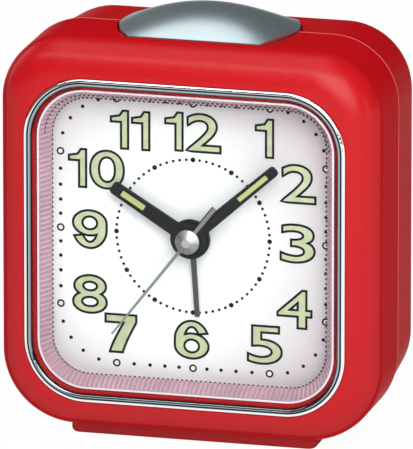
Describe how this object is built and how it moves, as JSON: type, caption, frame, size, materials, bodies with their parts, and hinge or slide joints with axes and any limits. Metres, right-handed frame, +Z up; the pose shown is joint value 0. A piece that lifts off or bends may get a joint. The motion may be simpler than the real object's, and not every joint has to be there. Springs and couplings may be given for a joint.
{
  "type": "desk clock",
  "caption": "Small square quartz alarm clock: rounded two-shell case on a foot, framed dial under a clear lens, luminous hands, domed top button and rear setting knobs.",
  "frame": {"origin": "middle of the bounding box's underside, on the surface the foot rests on", "axes": "+X right seen from the front, +Y towards the back of the clock, +Z up"},
  "size_m": [0.0616, 0.0362, 0.0689],
  "materials": {
    "red_plastic": "satin moulded plastic",
    "plated_plastic": "bright metal plating on plastic",
    "silver_plastic": "silver lacquer on plastic",
    "clear_plastic": "clear polished plastic",
    "pink_plastic": "ribbed translucent plastic",
    "dial_sheet": "printed matt white sheet",
    "black_hand": "black paint",
    "grey_hand": "dark grey paint",
    "silver_hand": "bright",
    "lume": "luminous paint",
    "movement_plastic": "moulded",
    "pale_plastic": "moulded",
    "magnet_plastic": "moulded with a magnet",
    "soft_iron": "bare",
    "copper": "enamelled winding",
    "board": "coated",
    "can": "bright",
    "chip": "moulded",
    "sounder_brass": "bare",
    "cell": "plain wrapped cell",
    "contact_steel": "plated",
    "black_plastic": "satin",
    "screw_steel": "plated"
  },
  "bodies": {
    "case": {"front_case": "red_plastic", "rear_case": "red_plastic", "foot": "red_plastic", "bezel_ring": "plated_plastic", "lens": "clear_plastic", "dial_surround": "pink_plastic", "dial": "dial_sheet", "movement_housing": "movement_plastic", "rear_plate": "movement_plastic", "middle_plate": "pale_plastic", "stator": "soft_iron", "coil_core": "soft_iron", "coil": "copper", "circuit_board": "board", "quartz_crystal": "can", "driver_chip": "chip", "sounder": "sounder_brass", "battery": "cell", "contact_plus": "contact_steel", "contact_minus": "contact_steel", "snooze_spring": "contact_steel", "case_screws": "screw_steel", "movement_screws": "screw_steel", "plate_screws": "screw_steel"},
    "seconds": {"second_wheel": "pale_plastic", "second_hand": "silver_hand"},
    "intermediate": {"intermediate_wheel": "pale_plastic"},
    "motor_rotor": {"rotor": "magnet_plastic"},
    "third": {"third_wheel": "pale_plastic"},
    "centre": {"centre_wheel": "pale_plastic"},
    "minutes": {"cannon_pinion": "pale_plastic", "minute_hand": "black_hand", "minute_hand_lume": "lume"},
    "minute_reduction": {"minute_wheel": "pale_plastic"},
    "hours": {"hour_wheel": "pale_plastic", "hour_hand": "black_hand", "hour_hand_lume": "lume"},
    "time_setting": {"time_set_arbor": "pale_plastic", "time_set_knob": "black_plastic"},
    "alarm": {"alarm_wheel": "pale_plastic", "alarm_hand": "grey_hand"},
    "alarm_setting": {"alarm_set_arbor": "pale_plastic", "alarm_set_knob": "black_plastic"},
    "snooze": {"snooze_button": "silver_plastic"},
    "switch": {"alarm_switch": "black_plastic"},
    "door": {"battery_door": "red_plastic"}
  },
  "joints": [
    {"name": "second_hand_turn", "type": "hinge", "parent": "case", "child": "seconds", "pos_m": [0, -0.00325, 0.0335], "axis": [0, 1, 0], "continuous": true},
    {"name": "intermediate_turn", "type": "hinge", "parent": "case", "child": "intermediate", "pos_m": [0, -0.00205, 0.03998], "axis": [0, 1, 0], "continuous": true},
    {"name": "rotor_turn", "type": "hinge", "parent": "case", "child": "motor_rotor", "pos_m": [0.0028, -0.00085, 0.04483], "axis": [0, 1, 0], "continuous": true},
    {"name": "third_turn", "type": "hinge", "parent": "case", "child": "third", "pos_m": [-0.00495, -0.00445, 0.02935], "axis": [0, 1, 0], "continuous": true},
    {"name": "centre_turn", "type": "hinge", "parent": "case", "child": "centre", "pos_m": [0, -0.00565, 0.0335], "axis": [0, 1, 0], "continuous": true},
    {"name": "minute_hand_turn", "type": "hinge", "parent": "case", "child": "minutes", "pos_m": [0, -0.00805, 0.0335], "axis": [0, 1, 0], "continuous": true},
    {"name": "minute_wheel_turn", "type": "hinge", "parent": "case", "child": "minute_reduction", "pos_m": [0.0052, -0.00805, 0.0305], "axis": [0, 1, 0], "continuous": true},
    {"name": "hour_hand_turn", "type": "hinge", "parent": "case", "child": "hours", "pos_m": [0, -0.00915, 0.0335], "axis": [0, 1, 0], "continuous": true},
    {"name": "time_knob_turn", "type": "hinge", "parent": "case", "child": "time_setting", "pos_m": [0.01099, 0.01515, 0.03296], "axis": [0, 1, 0], "continuous": true},
    {"name": "alarm_hand_turn", "type": "hinge", "parent": "case", "child": "alarm", "pos_m": [0, -0.01025, 0.0335], "axis": [0, 1, 0], "continuous": true},
    {"name": "alarm_knob_turn", "type": "hinge", "parent": "case", "child": "alarm_setting", "pos_m": [-0.01108, 0.01515, 0.03292], "axis": [0, 1, 0], "continuous": true},
    {"name": "snooze_press", "type": "slide", "parent": "case", "child": "snooze", "axis": [0, 0, -1], "range_m": [0, 0.0015], "stiffness_N_per_m": 400, "springref_m": -0.002, "deforming": ["snooze_spring"]},
    {"name": "alarm_switch_slide", "type": "slide", "parent": "case", "child": "switch", "axis": [1, 0, 0], "range_m": [0, 0.004]},
    {"name": "battery_door_lift", "type": "slide", "parent": "case", "child": "door", "axis": [0, 1, 0], "range_m": [0, 0.02]}
  ],
  "couplings": [
    {"joint": "intermediate_turn", "follows": "second_hand_turn", "ratio": -5},
    {"joint": "rotor_turn", "follows": "second_hand_turn", "ratio": 30},
    {"joint": "third_turn", "follows": "second_hand_turn", "ratio": -0.13333},
    {"joint": "centre_turn", "follows": "second_hand_turn", "ratio": 0.016667},
    {"joint": "minute_wheel_turn", "follows": "minute_hand_turn", "ratio": -0.33333},
    {"joint": "hour_hand_turn", "follows": "minute_hand_turn", "ratio": 0.083333},
    {"joint": "time_knob_turn", "follows": "minute_hand_turn", "ratio": 0.83333},
    {"joint": "alarm_knob_turn", "follows": "alarm_hand_turn", "ratio": -1.1765}
  ]
}
